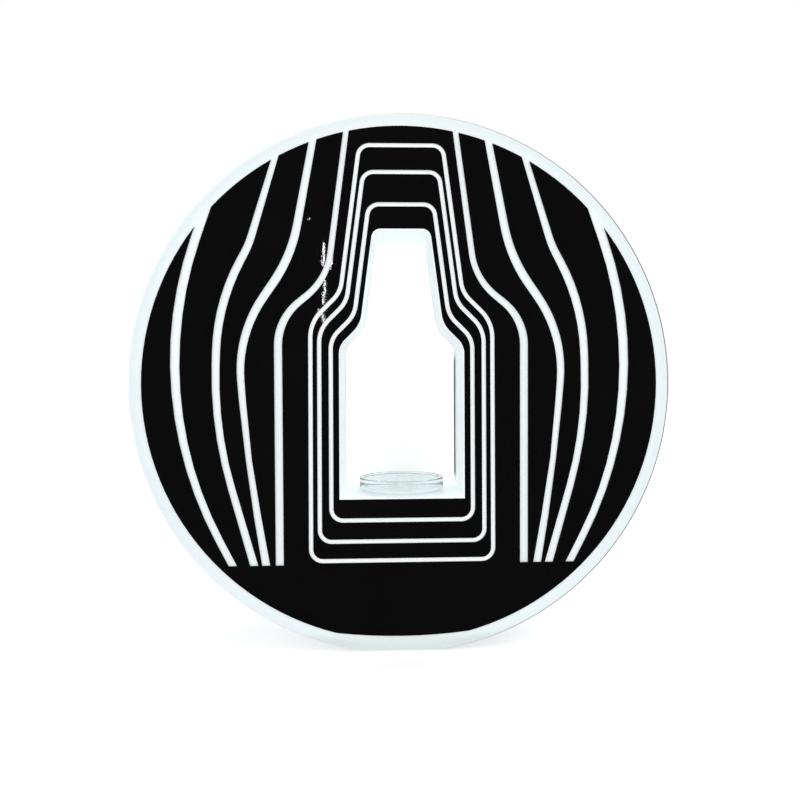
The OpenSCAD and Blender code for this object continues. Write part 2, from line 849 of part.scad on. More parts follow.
// Short leads from each lamp to the next
module lamp_leads() {
  top_row = len(niche_lamp_row_shares) - 1;
  neck_across = neck_lead_share * lamp_len;
  color("#b8b8b8") {
    for (ring = [0, 1]) for (k = [0:lamp_counts[ring] - 2])
      lamp_lead([lamp_end(ring, k, 1, 0), lamp_end(ring, k + 1, -1, 0)]);
    for (side = [-1, 1]) {
      for (row = [0:top_row - 1]) lamp_lead([
        beside_lamp(niche_lamp(side, row), 0, 1, 0),
        beside_lamp(niche_lamp(side, row + 1), 0, -1, 0)
      ]);
      lamp_lead([
        beside_lamp(niche_lamp(side, top_row), 0, 1, 0),
        beside_lamp(niche_lamp(side, top_row), 0, 1, lamp_tail),
        beside_lamp(neck_lamp(0), side * neck_across, -1, lamp_tail),
        beside_lamp(neck_lamp(0), side * neck_across, -1, 0)
      ]);
      lamp_lead([
        beside_lamp(neck_lamp(0), side * neck_across, 1, 0),
        beside_lamp(neck_lamp(1), side * neck_across, -1, 0)
      ]);
    }
  }
}

// Leads from the inlet to the switch, from there to the outer ring, on to the inner ring and to the niche
module supply_leads() {
  inlet_y = cover_out_y - inlet_len - lead_gap;
  blade_y = cover_out_y - switch_depth - terminal_len - lead_gap;
  run_y = blade_y - tail_reach;
  blade_z = terminal_share * switch_len;
  outer_last = lamp_counts[0] - 1;
  inner_last = lamp_counts[1] - 1;
  color("#2a2a2c") {
    lead([
      in_drum([control_x, -control_drop], inlet_y),
      in_drum([control_x, -control_drop], run_y),
      in_drum([-control_x, -control_drop - blade_z], run_y),
      in_drum([-control_x, -control_drop - blade_z], blade_y)
    ]);
    lead([
      in_drum([-control_x, -control_drop + blade_z], blade_y),
      in_drum([-control_x, -control_drop + blade_z], run_y),
      in_drum(lamp_end(0, outer_last, 1, lamp_tail), run_y),
      in_drum(lamp_end(0, outer_last, 1, lamp_tail), lamp_lead_y),
      in_drum(lamp_end(0, outer_last, 1, 0), lamp_lead_y)
    ]);
    lamp_lead([
      lamp_end(0, 0, -1, 0),
      lamp_end(0, 0, -1, lamp_tail),
      lamp_end(1, 0, -1, lamp_tail),
      lamp_end(1, 0, -1, 0)
    ]);
    lamp_lead([
      lamp_end(1, inner_last, 1, 0),
      lamp_end(1, inner_last, 1, lamp_tail),
      beside_lamp(niche_lamp(-1, 0), 0, -1, lamp_tail),
      beside_lamp(niche_lamp(-1, 0), 0, -1, 0)
    ]);
  }
}

// Switch housing with a bezel, a well for the rocker and bores for its trunnions
module switch_body() {
  bore_len = well_w + 2 * (trunnion_reach + trunnion_room);
  color("#161618") on_cover([-control_x, -control_drop]) difference() {
    union() {
      translate([-bezel_w / 2, -bezel_len / 2, 0]) cube([bezel_w, bezel_len, bezel_t]);
      translate([-switch_w / 2, -switch_len / 2, -switch_depth]) cube([switch_w, switch_len, switch_depth]);
    }
    translate([-well_w / 2, -well_len / 2, -well_depth])
      cube([well_w, well_len, well_depth + bezel_t + overrun]);
    rotate([0, 90, 0]) cylinder(h = bore_len, d = trunnion_d + 2 * trunnion_fit, center = true);
  }
}

// Rocker that turns about a level axis at the cover's face, pressed in at its upper end
module switch_rocker() {
  color("#202022") on_cover([-control_x, -control_drop]) rotate([-rocker_tilt, 0, 0]) {
    crosswise(rocker_w) intersection() {
      circle(rocker_r);
      polygon([
        [-rocker_r, -rocker_base],
        [rocker_r, -rocker_base],
        [rocker_r, rocker_tip],
        [0, rocker_dip],
        [-rocker_r, rocker_tip]
      ]);
    }
    rotate([0, 90, 0]) cylinder(h = well_w + 2 * trunnion_reach, d = trunnion_d, center = true);
  }
}

module switch_terminals() {
  color("#c9a24a") on_cover([-control_x, -control_drop]) for (side = [-1, 1])
    translate([-terminal_w / 2, side * terminal_share * switch_len, -switch_depth - terminal_len])
      translate([0, -terminal_t / 2, 0]) cube([terminal_w, terminal_t, terminal_len]);
}

// Round socket with a flange outside the cover
module dc_inlet() {
  color("#161618") on_cover([control_x, -control_drop]) difference() {
    union() {
      cylinder(h = bezel_t, d = inlet_d * flange_d_share);
      translate([0, 0, -inlet_len]) cylinder(h = inlet_len, d = inlet_d);
    }
    translate([0, 0, bezel_t - socket_depth]) cylinder(h = socket_depth + overrun, d = socket_d);
  }
}

module inlet_contact() {
  color("#d8c07a") on_cover([control_x, -control_drop])
    translate([0, 0, bezel_t - socket_depth]) cylinder(h = contact_len, d = contact_d);
}

// Nut that clamps the inlet to the cover from inside
module inlet_nut() {
  color("silver") on_cover([control_x, -control_drop]) translate([0, 0, -cover_t - nut_t]) difference() {
    cylinder(h = nut_t, d = inlet_d * nut_d_share, $fn = 6);
    translate([0, 0, -overrun]) cylinder(h = nut_t + 2 * overrun, d = inlet_d + 2 * inlet_fit);
  }
}

face_panel();
outline_band_inner();
outline_band_middle();
outline_band_outer();
light_panel();
side_band();
back_cover();
cover_blocks();
cover_screws();
niche_liner();
niche_shelf();
niche_back();
back_spacers();
spacer_screws();
shelf_stand();
stand_screws();
base_plate();
base_screws();
feet();
coaster_disc();
coaster_bumpers();
lamp_modules();
niche_lamps();
lamp_leads();
supply_leads();
switch_body();
switch_rocker();
switch_terminals();
dc_inlet();
inlet_contact();
inlet_nut();
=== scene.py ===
import json
import math

import bmesh
import bpy
from mathutils import Matrix, Vector


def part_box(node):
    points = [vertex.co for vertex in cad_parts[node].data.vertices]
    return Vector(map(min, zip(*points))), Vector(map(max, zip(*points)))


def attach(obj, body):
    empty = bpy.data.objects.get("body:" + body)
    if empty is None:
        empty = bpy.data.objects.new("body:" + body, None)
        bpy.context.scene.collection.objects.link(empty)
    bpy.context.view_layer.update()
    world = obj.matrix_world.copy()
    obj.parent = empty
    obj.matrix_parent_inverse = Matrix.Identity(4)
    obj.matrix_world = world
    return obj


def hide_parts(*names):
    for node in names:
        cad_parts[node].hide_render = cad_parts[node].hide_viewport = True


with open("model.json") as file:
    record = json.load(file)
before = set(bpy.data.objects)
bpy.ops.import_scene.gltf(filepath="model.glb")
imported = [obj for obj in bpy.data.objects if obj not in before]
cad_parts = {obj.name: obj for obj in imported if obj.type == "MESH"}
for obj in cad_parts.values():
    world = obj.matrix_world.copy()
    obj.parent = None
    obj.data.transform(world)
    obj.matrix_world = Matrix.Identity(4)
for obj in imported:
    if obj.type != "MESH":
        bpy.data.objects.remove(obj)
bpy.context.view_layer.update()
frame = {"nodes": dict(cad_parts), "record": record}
nodes = frame["nodes"]
print("frame loaded:", len(nodes), "nodes")

# Places read from the frame, in metres
panelLow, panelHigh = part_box("light_panel")
faceLow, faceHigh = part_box("face_panel")
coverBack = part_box("back_cover")[1].y
drumRadius = (panelHigh.x - panelLow.x) / 2
drumCentre = Vector((0, 0, panelHigh.z - drumRadius))

# Camera in front of the black face, a little left of and above its middle
viewpoint = {
    "distance": 1.0,
    "aside": -0.013,
    "above": 0.024,
    "lens": 37.55,  # mm
    "sensor": 36.0,  # mm
    "axisPixel": (427.4, 362.9),  # where the lens axis meets the picture
    "picturePixels": 800,
    "turnRight": 2.5,  # degrees
    "roll": 0.24,  # degrees
    "nearest": 0.01,
}


def addCamera(v):
    data = bpy.data.cameras.new("camera")
    camera = bpy.data.objects.new("camera", data)
    bpy.context.scene.collection.objects.link(camera)
    camera.location = (v["aside"], faceLow.y - v["distance"], drumCentre.z + v["above"])
    camera.rotation_euler = (math.radians(90), math.radians(v["roll"]), -math.radians(v["turnRight"]))
    data.lens = v["lens"]
    data.sensor_width = v["sensor"]
    half = v["picturePixels"] / 2
    data.shift_x = (half - v["axisPixel"][0]) / v["picturePixels"]
    data.shift_y = (v["axisPixel"][1] - half) / v["picturePixels"]
    data.clip_start = v["nearest"]
    bpy.context.scene.camera = camera


addCamera(viewpoint)
bpy.context.scene.view_settings.view_transform = "Standard"
print("camera set")


# Shader helpers

def newFinish(name):
    material = bpy.data.materials.new(name)
    material.use_nodes = True
    tree = material.node_tree
    shader = tree.nodes["Principled BSDF"]
    return material, tree, shader


def addNode(tree, kind, **values):
    node = tree.nodes.new(kind)
    for name, value in values.items():
        setattr(node, name, value)
    return node


def objectCoords(tree, scale=(1, 1, 1), turn=(0, 0, 0), centre=(0, 0, 0)):
    coords = addNode(tree, "ShaderNodeTexCoord")
    mapping = addNode(tree, "ShaderNodeMapping")
    mapping.inputs["Location"].default_value = centre
    mapping.inputs["Rotation"].default_value = turn
    mapping.inputs["Scale"].default_value = scale
    tree.links.new(coords.outputs["Object"], mapping.inputs["Vector"])
    return mapping.outputs["Vector"]


def splitCoords(tree, vector):
    node = addNode(tree, "ShaderNodeSeparateXYZ")
    tree.links.new(vector, node.inputs["Vector"])
    return node.outputs


def lengthOf(tree, vector):
    node = addNode(tree, "ShaderNodeVectorMath", operation="LENGTH")
    tree.links.new(vector, node.inputs[0])
    return node.outputs["Value"]


def noise(tree, scale, detail, rough=0.5, vector=None):
    node = addNode(tree, "ShaderNodeTexNoise")
    node.inputs["Scale"].default_value = scale
    node.inputs["Detail"].default_value = detail
    node.inputs["Roughness"].default_value = rough
    tree.links.new(vector or objectCoords(tree), node.inputs["Vector"])
    return node.outputs["Fac"]


def remap(tree, value, low, high, toLow, toHigh):
    node = addNode(tree, "ShaderNodeMapRange", clamp=True)
    for name, number in (("From Min", low), ("From Max", high), ("To Min", toLow), ("To Max", toHigh)):
        node.inputs[name].default_value = number
    tree.links.new(value, node.inputs["Value"])
    return node.outputs["Result"]


def clouds(tree, scale, detail, rough=0.5, span=(0.35, 0.7)):
    return remap(tree, noise(tree, scale, detail, rough), *span, 0, 1)


def blendColours(tree, factor, first, second):
    node = addNode(tree, "ShaderNodeMix", data_type="RGBA")
    for socket, colour in ((node.inputs[6], first), (node.inputs[7], second)):
        if isinstance(colour, bpy.types.NodeSocket):
            tree.links.new(colour, socket)
        else:
            socket.default_value = (*colour, 1)
    tree.links.new(factor, node.inputs[0])
    return node.outputs[2]


def combine(tree, operation, first, second):
    node = addNode(tree, "ShaderNodeMath", operation=operation)
    for socket, value in zip(node.inputs, (first, second)):
        if isinstance(value, bpy.types.NodeSocket):
            tree.links.new(value, socket)
        else:
            socket.default_value = value
    return node.outputs[0]


def setColour(tree, shader, factor, first, second):
    tree.links.new(blendColours(tree, factor, first, second), shader.inputs["Base Color"])


def setRough(tree, shader, pattern, low, high, span=(0.3, 0.7)):
    tree.links.new(remap(tree, pattern, *span, low, high), shader.inputs["Roughness"])


def addBump(tree, shader, height, strength, distance):
    bump = addNode(tree, "ShaderNodeBump")
    bump.inputs["Strength"].default_value = strength
    bump.inputs["Distance"].default_value = distance
    tree.links.new(height, bump.inputs["Height"])
    tree.links.new(bump.outputs["Normal"], shader.inputs["Normal"])


def setPlain(shader, **values):
    for name, value in values.items():
        shader.inputs[name.replace("_", " ")].default_value = value


# Black gloss of the face and the bands, with a faint film and wiping streaks
acrylicIor = 1.49
blackFace = {
    "colour": (0.0021, 0.0021, 0.0023),
    "film": (0.0034, 0.0034, 0.0036),
    "rough": (0.015, 0.05),
    "wipeScale": (60, 60, 9),
    "wipeTurn": 28,  # degrees
    "peelShare": 0.15,
    "waveStrength": 0.05,
    "waveDepth": 0.0012,
}


def blackGloss(p):
    finish, tree, shader = newFinish("blackGloss")
    setPlain(shader, IOR=acrylicIor)
    film = clouds(tree, scale=11, detail=5, rough=0.6, span=(0.42, 0.75))
    setColour(tree, shader, film, p["colour"], p["film"])
    wiped = objectCoords(tree, p["wipeScale"], (0, math.radians(p["wipeTurn"]), 0))
    streaks = noise(tree, scale=1.6, detail=4, rough=0.6, vector=wiped)
    setRough(tree, shader, streaks, *p["rough"], span=(0.45, 0.8))
    peel = combine(tree, "MULTIPLY", noise(tree, scale=260, detail=2, rough=0.6), p["peelShare"])
    wave = combine(tree, "ADD", noise(tree, scale=14, detail=1), peel)
    addBump(tree, shader, wave, p["waveStrength"], p["waveDepth"])
    return finish


# Opal sheet, lit from behind
opalPeelDepth = 0.0004
sideBand = {
    "colour": (0.68, 0.735, 0.755),
    "shade": (0.67, 0.725, 0.745),
    "glow": (0.1, 0.11, 0.115),
    "peel": 0.002,
    "rough": 0.34,
    "roughSpread": 0.015,
}
nicheShelf = {
    "colour": (0.86, 0.93, 0.955),
    "shade": (0.845, 0.92, 0.95),
    "glow": (0.2, 0.215, 0.215),
    "peel": 0.004,
    "rough": 0.4,
    "roughSpread": 0.06,
}


def opalSheet(name, p):
    finish, tree, shader = newFinish(name)
    setPlain(shader, IOR=acrylicIor, Emission_Color=(*p["glow"], 1), Emission_Strength=1.0)
    setColour(tree, shader, clouds(tree, scale=16, detail=4, rough=0.55), p["colour"], p["shade"])
    grain = noise(tree, scale=420, detail=3)
    setRough(tree, shader, grain, p["rough"] - p["roughSpread"], p["rough"] + p["roughSpread"])
    peel = combine(tree, "ADD", noise(tree, scale=60, detail=2), grain)
    addBump(tree, shader, peel, p["peel"], opalPeelDepth)
    return finish


def partsOf(finish):
    tree = finish.node_tree
    shader = tree.nodes["Principled BSDF"]
    return tree, shader, shader.inputs["Base Color"].links[0].from_socket


# Front panel, lit from behind: painted light in the rings, near the black face and low on the rim; painted
# shade on the first lines, the bare rim, the outer edge, a line on its right and its foot
frontPanel = {
    "colour": (0.772, 0.818, 0.828),  # in the light lines
    "shade": (0.76, 0.808, 0.82),
    "firstLinesShade": (0.688, 0.762, 0.785),  # the lines next to the rings, painted darker: painted shade
    "paintedRingLight": (0.93, 0.955, 0.965),  # the rings, painted lighter: painted light against the shade of their narrow slots
    # painted shade: the bare rim duller than the lines
    "rim": (0.6, 0.672, 0.696),
    # painted light low on the rim
    "paintedLowRimLight": (0.665, 0.74, 0.762),
    # painted shade on the rounded outer edge
    "edge": (0.595, 0.613, 0.64),
    # painted shade line on the right of the edge
    "paintedEdgeShadeLine": (0.06, 0.062, 0.066),
    # painted shade along the foot
    "foot": (0.5, 0.565, 0.545),
    "glow": (0.36, 0.385, 0.39),
    "peel": 0.03,
    "rough": 0.28,
    "roughSpread": 0.06,
    "rimBlend": 0.002,
    "edgeWidth": 0.003,
    "lineWidth": 0.0022,
    "lineBlend": 0.0003,
    "lineFrom": (-0.05, 0.28),  # the painted shade line grows from left to right
    "lineDimming": 0.75,
    "lineDepth": (0.0016, 0.0026),  # behind the panel's front
    "paintedFaceLight": 0.22,  # painted light close to the black face, against the shade it casts
    "faceGlowReach": 0.01,
    "paintedRingGlow": 0.09,  # painted light in the narrow lines, against the shade of their slot walls
    "ringsHalf": (0.122, 0.076, 0.057),  # half width round the rings at their body, neck and top
    "ringsHeight": (0.07, 0.13, 0.28),  # where those are, above the drum's middle
    "ringsBlend": 0.004,
    "firstHalf": (0.155, 0.166),
    "firstTop": (0.06, 0.08),  # above the drum's middle
    "lowDrop": (0.15, 0.29),  # below the drum's middle, where the rim is painted lighter
    "footRise": (0.013, 0.023),  # above the panel's lowest point, where the painted shade ends
}


def frontOpal(p):
    finish = opalSheet("opalFront", p)
    tree, shader, colour = partsOf(finish)
    place = objectCoords(tree, (1, 0, 1), centre=(0, 0, -drumCentre.z))
    radius = lengthOf(tree, place)
    split = splitCoords(tree, place)
    # Light lines: painted shade on the first lines, painted light in the rings
    aside = combine(tree, "ABSOLUTE", split["X"], 0)
    below = remap(tree, split["Z"], *p["firstTop"], 1, 0)
    onFirst = combine(tree, "MULTIPLY", remap(tree, aside, *p["firstHalf"], 1, 0), below)
    colour = blendColours(tree, onFirst, colour, p["firstLinesShade"])
    body, neck, top = p["ringsHalf"]
    shoulder = remap(tree, split["Z"], *p["ringsHeight"][:2], body, neck)
    taper = remap(tree, split["Z"], *p["ringsHeight"][1:], 0, neck - top)
    outside = combine(tree, "ADD", combine(tree, "SUBTRACT", aside, shoulder), taper)
    inRings = remap(tree, outside, -p["ringsBlend"], p["ringsBlend"], 1, 0)
    colour = blendColours(tree, inRings, colour, p["paintedRingLight"])
    # Rim, painted duller and lighter low down, and its outer edge in painted shade with a painted shade
    # line
    low = remap(tree, combine(tree, "MULTIPLY", split["Z"], -1), *p["lowDrop"], 0, 1)
    rim = blendColours(tree, low, p["rim"], p["paintedLowRimLight"])
    onRim = remap(tree, radius, faceHigh.x - p["rimBlend"], faceHigh.x + p["rimBlend"], 0, 1)
    colour = blendColours(tree, onRim, colour, rim)
    onEdge = remap(tree, radius, drumRadius - p["edgeWidth"], drumRadius, 0, 1)
    colour = blendColours(tree, onEdge, colour, p["edge"])
    # painted shade line along the right of the edge, which also dims the glow
    lineInner = drumRadius - p["lineWidth"]
    onLine = remap(tree, radius, lineInner, lineInner + p["lineBlend"], 0, 1)
    toRight = remap(tree, split["X"], *p["lineFrom"], 0, 1)
    lineFront, lineBack = (panelLow.y + depth for depth in p["lineDepth"])
    onFront = remap(tree, splitCoords(tree, objectCoords(tree))["Y"], lineFront, lineBack, 1, 0)
    onLine = combine(tree, "MULTIPLY", combine(tree, "MULTIPLY", onLine, toRight), onFront)
    colour = blendColours(tree, onLine, colour, p["paintedEdgeShadeLine"])
    # Glow: painted light near the black face and in the rings, dimmed on the painted shade line
    near = remap(tree, radius, faceHigh.x, faceHigh.x + p["faceGlowReach"], p["paintedFaceLight"], 0)
    onLines = combine(tree, "SUBTRACT", 1, onRim)
    narrow = combine(tree, "MULTIPLY", combine(tree, "MULTIPLY", onLines, inRings), p["paintedRingGlow"])
    added = combine(tree, "ADD", combine(tree, "MULTIPLY", onRim, near), narrow)
    brightness = combine(tree, "ADD", added, 1)
    dimmed = combine(tree, "MULTIPLY", onLine, p["lineDimming"])
    tree.links.new(combine(tree, "SUBTRACT", brightness, dimmed), shader.inputs["Emission Strength"])
    # Painted shade along the foot
    footLow, footHigh = (panelLow.z - drumCentre.z + rise for rise in p["footRise"])
    atFoot = remap(tree, split["Z"], footLow, footHigh, 1, 0)
    setColour(tree, shader, atFoot, colour, p["foot"])
    return finish


# Niche wall: painted light at its ceiling, at the left of its neck and near the shelf
nicheWall = {
    "colour": (0.74, 0.775, 0.79),
    "shade": (0.725, 0.765, 0.785),
    # painted light on the left wall from the neck up
    "paintedLeftNeckLight": (0.85, 0.885, 0.9),
    # painted light on the ceiling
    "ceiling": (0.93, 0.965, 0.97),
    # painted light from the shelf, low on the wall
    "low": (0.86, 0.885, 0.89),
    "glow": (0.13, 0.14, 0.145),
    "peel": 0.004,
    "rough": 0.45,
    "roughSpread": 0.03,
    "leftBlend": (-0.02, 0.02),
    "neckBlend": (0.045, 0.065),  # above the drum's middle
    "ceilingBlend": (0.016, 0.004),  # below the liner's top
    "lowBlend": (0.01, 0.08),  # above the shelf, whose light is painted on the wall
}


def nicheOpal(p):
    finish = opalSheet("opalNiche", p)
    tree, shader, colour = partsOf(finish)
    split = splitCoords(tree, objectCoords(tree))
    # painted light on the left of the neck
    neckFrom, neckTo = (drumCentre.z + rise for rise in p["neckBlend"])
    onNeck = remap(tree, split["Z"], neckFrom, neckTo, 0, 1)
    onLeft = remap(tree, split["X"], *p["leftBlend"], 1, 0)
    colour = blendColours(tree, combine(tree, "MULTIPLY", onNeck, onLeft), colour, p["paintedLeftNeckLight"])
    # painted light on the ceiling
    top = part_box("niche_liner")[1].z
    ceilingFrom, ceilingTo = (top - drop for drop in p["ceilingBlend"])
    onCeiling = remap(tree, split["Z"], ceilingFrom, ceilingTo, 0, 1)
    colour = blendColours(tree, onCeiling, colour, p["ceiling"])
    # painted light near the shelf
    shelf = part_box("niche_shelf")[1].z
    lowFrom, lowTo = (shelf + rise for rise in p["lowBlend"])
    nearShelf = remap(tree, split["Z"], lowFrom, lowTo, 1, 0)
    setColour(tree, shader, nearShelf, colour, p["low"])
    return finish


# Niche back: the brightest sheet, with a dark joint down its right edge: a real joint whose darkness is
# painted shade in its gap
nicheBack = {
    "colour": (0.94, 0.94, 0.93),
    "shade": (0.93, 0.93, 0.92),
    "glow": (0.46, 0.46, 0.45),
    "peel": 0.004,
    "rough": 0.4,
    "roughSpread": 0.06,
    # painted shade in the joint's gap
    "joint": (0.05, 0.05, 0.055),
    "jointWidth": 0.0015,
    "jointBlend": 0.0001,
    "jointFoot": (0.19, 0.198),  # fades out at both ends, above the floor
    "jointTop": (0.35, 0.362),
}


def backOpal(p):
    finish = opalSheet("opalBack", p)
    tree, shader, colour = partsOf(finish)
    split = splitCoords(tree, objectCoords(tree))
    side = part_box("niche_back")[1].x - p["jointWidth"]
    onJoint = remap(tree, split["X"], side - p["jointBlend"], side, 0, 1)
    fadeLow = remap(tree, split["Z"], *p["jointFoot"], 0, 1)
    fadeHigh = remap(tree, split["Z"], *p["jointTop"], 1, 0)
    for fade in (fadeLow, fadeHigh):
        onJoint = combine(tree, "MULTIPLY", onJoint, fade)
    # the joint painted dark and unlit: painted shade
    setColour(tree, shader, onJoint, colour, p["joint"])
    tree.links.new(remap(tree, onJoint, 0, 1, 1, 0), shader.inputs["Emission Strength"])
    return finish


# Foamed white sheet of the back cover
foamed = {
    "colour": (0.79, 0.82, 0.83),
    "shade": (0.772, 0.805, 0.815),
    "rough": (0.42, 0.6),
    "poreStrength": 0.12,
    "poreDepth": 0.0003,
}


def foamedSheet(p):
    finish, tree, shader = newFinish("foamedSheet")
    setColour(tree, shader, clouds(tree, scale=22, detail=5, rough=0.6), p["colour"], p["shade"])
    pores = noise(tree, scale=900, detail=3, rough=0.6)
    setRough(tree, shader, pores, *p["rough"])
    addBump(tree, shader, pores, p["poreStrength"], p["poreDepth"])
    return finish


# Moulded, sawn, coated and rubber pieces
plasticGrain = {"depth": 0.0002, "smoother": 0.06, "rougher": 0.08}


def mouldedPlastic(name, colour, worn, rough, grainScale=1400, grain=0.15):
    finish, tree, shader = newFinish(name)
    wear = clouds(tree, scale=90, detail=4, rough=0.6, span=(0.4, 0.75))
    setColour(tree, shader, wear, colour, worn)
    pattern = noise(tree, grainScale, detail=2)
    setRough(tree, shader, pattern, rough - plasticGrain["smoother"], rough + plasticGrain["rougher"])
    addBump(tree, shader, pattern, grain, plasticGrain["depth"])
    return finish


# Bare, plated and brass pieces
metalGrain = {"strength": 0.08, "depth": 0.0001, "smoother": 0.07, "rougher": 0.1}


def metal(name, colour, shade, rough, grain=(1, 1, 1), grainScale=300):
    finish, tree, shader = newFinish(name)
    setPlain(shader, Metallic=1.0)
    patina = clouds(tree, scale=140, detail=5, rough=0.6, span=(0.4, 0.75))
    setColour(tree, shader, patina, colour, shade)
    lines = noise(tree, grainScale, detail=3, rough=0.6, vector=objectCoords(tree, grain))
    setRough(tree, shader, lines, rough - metalGrain["smoother"], rough + metalGrain["rougher"])
    addBump(tree, shader, lines, metalGrain["strength"], metalGrain["depth"])
    return finish


# Clear acrylic with the fine lines that turning leaves
clearDisc = {
    "colour": (0.9, 0.965, 0.975),
    "shade": (0.88, 0.955, 0.965),
    "rough": (0.0, 0.05),
    "turnedScale": (1, 1, 60),
    "turnedStrength": 0.03,
    "turnedDepth": 0.0002,
}


def clearAcrylic(p):
    finish, tree, shader = newFinish("clearAcrylic")
    setPlain(shader, IOR=acrylicIor, Transmission_Weight=1.0)
    setColour(tree, shader, clouds(tree, scale=40, detail=3, span=(0.4, 0.7)), p["colour"], p["shade"])
    turned = noise(tree, scale=30, detail=3, vector=objectCoords(tree, p["turnedScale"]))
    setRough(tree, shader, turned, *p["rough"], span=(0.35, 0.75))
    addBump(tree, shader, turned, p["turnedStrength"], p["turnedDepth"])
    return finish


# Soft clear bumpers with a painted glow: painted light standing in for the light that reaches them through
# the clear disc
bumper = {
    "colour": (0.6, 0.64, 0.65),
    "shade": (0.57, 0.61, 0.62),
    # painted light: a glow though they are no lamp
    "glow": (0.32, 0.345, 0.35),
    "rough": (0.35, 0.5),
    "ior": 1.45,
}


def softClear(p):
    finish, tree, shader = newFinish("softClear")
    # the painted glow
    setPlain(shader, IOR=p["ior"], Emission_Color=(*p["glow"], 1), Emission_Strength=1.0)
    cloud = clouds(tree, scale=500, detail=3, span=(0.3, 0.7))
    setColour(tree, shader, cloud, p["colour"], p["shade"])
    setRough(tree, shader, cloud, *p["rough"], span=(0, 1))
    return finish


def litLens():
    finish = mouldedPlastic("lampWhite", (0.86, 0.86, 0.82), (0.82, 0.82, 0.78), rough=0.35)
    shader = finish.node_tree.nodes["Principled BSDF"]
    setPlain(shader, Emission_Color=(0.6, 0.62, 0.62, 1), Emission_Strength=1.0)
    return finish


finishes = {
    "black_acrylic": blackGloss(blackFace),
    "opal_front": frontOpal(frontPanel),
    "opal_band": opalSheet("opalBand", sideBand),
    "opal_niche": nicheOpal(nicheWall),
    "opal_shelf": opalSheet("opalShelf", nicheShelf),
    "opal_back": backOpal(nicheBack),
    "white_sheet": foamedSheet(foamed),
    "white_acrylic": mouldedPlastic(
        "sawnAcrylic", (0.82, 0.85, 0.86), (0.78, 0.82, 0.83), rough=0.4, grainScale=500
    ),
    "white_nylon": mouldedPlastic(
        "turnedNylon", (0.7, 0.72, 0.73), (0.66, 0.69, 0.7), rough=0.45, grainScale=800
    ),
    "white_steel": mouldedPlastic(
        "powderCoat", (0.62, 0.66, 0.67), (0.58, 0.62, 0.63), rough=0.45, grainScale=600, grain=0.3
    ),
    "bare_steel": metal(
        "millSteel", (0.16, 0.17, 0.175), (0.11, 0.115, 0.12), rough=0.42, grain=(1, 12, 1), grainScale=60
    ),
    "zinc_screw": metal("zincPlate", (0.55, 0.55, 0.54), (0.46, 0.46, 0.45), rough=0.3),
    "foot_rubber": mouldedPlastic(
        "footRubber", (0.58, 0.62, 0.64), (0.52, 0.56, 0.58), rough=0.7, grainScale=1100, grain=0.3
    ),
    "clear_acrylic": clearAcrylic(clearDisc),
    "clear_rubber": softClear(bumper),
    "lamp_white": litLens(),
    "lead_grey": mouldedPlastic("leadGrey", (0.45, 0.45, 0.45), (0.4, 0.4, 0.4), rough=0.5),
    "lead_black": mouldedPlastic("leadBlack", (0.02, 0.02, 0.022), (0.03, 0.03, 0.032), rough=0.5),
    "switch_black": mouldedPlastic("switchBlack", (0.008, 0.008, 0.009), (0.014, 0.014, 0.015), rough=0.42),
    "rocker_black": mouldedPlastic(
        "rockerBlack", (0.012, 0.012, 0.013), (0.02, 0.02, 0.021), rough=0.22, grainScale=500, grain=0.06
    ),
    "inlet_black": mouldedPlastic("inletBlack", (0.008, 0.008, 0.009), (0.014, 0.014, 0.015), rough=0.4),
    "brass_blade": metal("brass", (0.58, 0.42, 0.16), (0.5, 0.35, 0.12), rough=0.28),
}
slotOf = {row["node"]: row["material_slot"] for row in frame["record"]["subparts"]}


def dress(piece, slot):
    piece.data.materials.clear()
    piece.data.materials.append(finishes[slot])


for name, node in nodes.items():
    dress(node, slotOf[name])
print("finishes:", len(finishes))


# Small edge rounding on the plain solids
edgeRounding = {
    "face_panel": 0.0002,
    "outline_band_inner": 0.0002,
    "outline_band_middle": 0.0002,
    "outline_band_outer": 0.0002,
    "side_band": 0.0005,
    "niche_back": 0.0003,
    "feet": 0.0006,
    "switch_body": 0.0004,
    "switch_rocker": 0.0003,
    "dc_inlet": 0.0004,
    "inlet_contact": 0.0005,
}
roundedEdge = {
    "weldGap": 0.000002,
    "segments": 2,
    "sharpFrom": 40,  # degrees
    "faceWeight": 100,
}


def roundEdges(node, width, r):
    weld = node.modifiers.new("weld", "WELD")
    weld.merge_threshold = r["weldGap"]
    bevel = node.modifiers.new("edges", "BEVEL")
    bevel.width = width
    bevel.segments = r["segments"]
    bevel.limit_method = "ANGLE"
    bevel.angle_limit = math.radians(r["sharpFrom"])
    flat = node.modifiers.new("shading", "WEIGHTED_NORMAL")
    flat.mode = "FACE_AREA"
    flat.weight = r["faceWeight"]
    flat.keep_sharp = False


for name, width in edgeRounding.items():
    roundEdges(nodes[name], width, roundedEdge)
print("edges rounded:", len(edgeRounding))


# New pieces
smoothAngle = math.radians(35)
mergeGap = 0.000001


def addPiece(name, bm, body, slot):
    bmesh.ops.recalc_face_normals(bm, faces=bm.faces)
    mesh = bpy.data.meshes.new(name)
    bm.to_mesh(mesh)
    bm.free()
    piece = bpy.data.objects.new(name, mesh)
    bpy.context.scene.collection.objects.link(piece)
    for face in mesh.polygons:
        face.use_smooth = True
    mesh.set_sharp_from_angle(angle=smoothAngle)
    dress(piece, slot)
    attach(piece, body)
    return piece


def wire(bm, points):
    verts = [bm.verts.new(point) for point in points]
    for first, second in zip(verts, verts[1:]):
        bm.edges.new((first, second))
    return verts


def lathe(bm, verts, steps):
    edges = [edge for edge in bm.edges if edge.verts[0] in verts or edge.verts[1] in verts]
    bmesh.ops.spin(
        bm, geom=edges + verts, axis=(0, 0, 1), cent=(0, 0, 0), steps=steps, angle=math.tau, use_merge=True
    )
    bmesh.ops.remove_doubles(bm, verts=bm.verts, dist=mergeGap)


